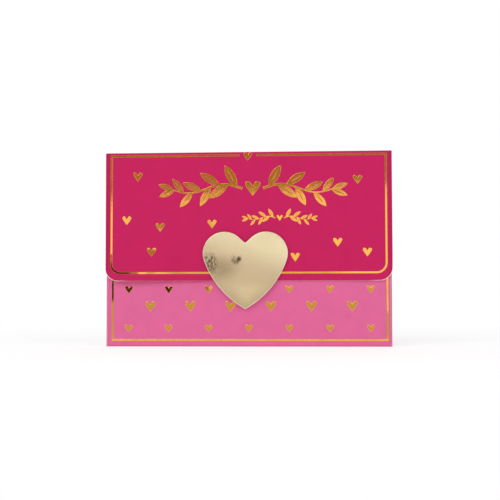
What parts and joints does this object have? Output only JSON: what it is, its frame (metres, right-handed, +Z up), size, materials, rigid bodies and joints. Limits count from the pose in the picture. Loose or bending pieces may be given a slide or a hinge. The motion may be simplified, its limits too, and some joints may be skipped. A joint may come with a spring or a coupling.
{
  "type": "money gift pouch",
  "caption": "Slim folded card pouch with a creased flap, foil-stamped hearts and a heart badge that closes over the pocket's front.",
  "frame": {"origin": "middle of the bottom wall's underside, where the pouch stands", "axes": "+X to the right as seen from the front, +Y from the front to the back panel, +Z up towards the crease; the flap and the badge face -Y"},
  "size_m": [0.171, 0.0088, 0.116],
  "materials": {
    "board_magenta": "half-millimetre board, printed magenta and matt laminated outside, white inside",
    "board_pink": "half-millimetre board, printed pink and matt laminated outside, white inside",
    "board_white": "unprinted inner side of the board",
    "glue": "dried dispersion glue",
    "gold_foil": "hot-stamped foil: an aluminium layer under gold-tinted lacquer",
    "fastener_white": "white nylon hook and loop tape",
    "foam_white": "white foam pad with adhesive on both faces",
    "badge_card": "die-cut card with a pale cut edge",
    "mirror_film": "champagne gold mirror film, softly brushed"
  },
  "bodies": {
    "pouch": {"back_panel": "board_magenta", "bottom_wall": "board_pink", "pocket_front": "board_pink", "left_side_wall": "board_pink", "right_side_wall": "board_pink", "left_glue_tab": "board_white", "right_glue_tab": "board_white", "glue_lines": "glue", "pocket_foil_border": "gold_foil", "pocket_foil_hearts": "gold_foil", "loop_dot": "fastener_white"},
    "top": {"top_wall": "board_magenta"},
    "flap": {"flap_panel": "board_magenta", "flap_foil_border": "gold_foil", "flap_foil_hearts": "gold_foil", "flap_foil_garland": "gold_foil", "badge_pads": "foam_white", "badge_board": "badge_card", "badge_mirror": "mirror_film", "hook_dot": "fastener_white"}
  },
  "joints": [
    {"name": "rear_crease", "type": "hinge", "parent": "pouch", "child": "top", "pos_m": [0, 0.00275, 0.11575], "axis": [-1, 0, 0], "range_deg": [0, 90]},
    {"name": "front_crease", "type": "hinge", "parent": "top", "child": "flap", "pos_m": [0, -0.00355, 0.11575], "axis": [-1, 0, 0], "range_deg": [0, 90]}
  ]
}
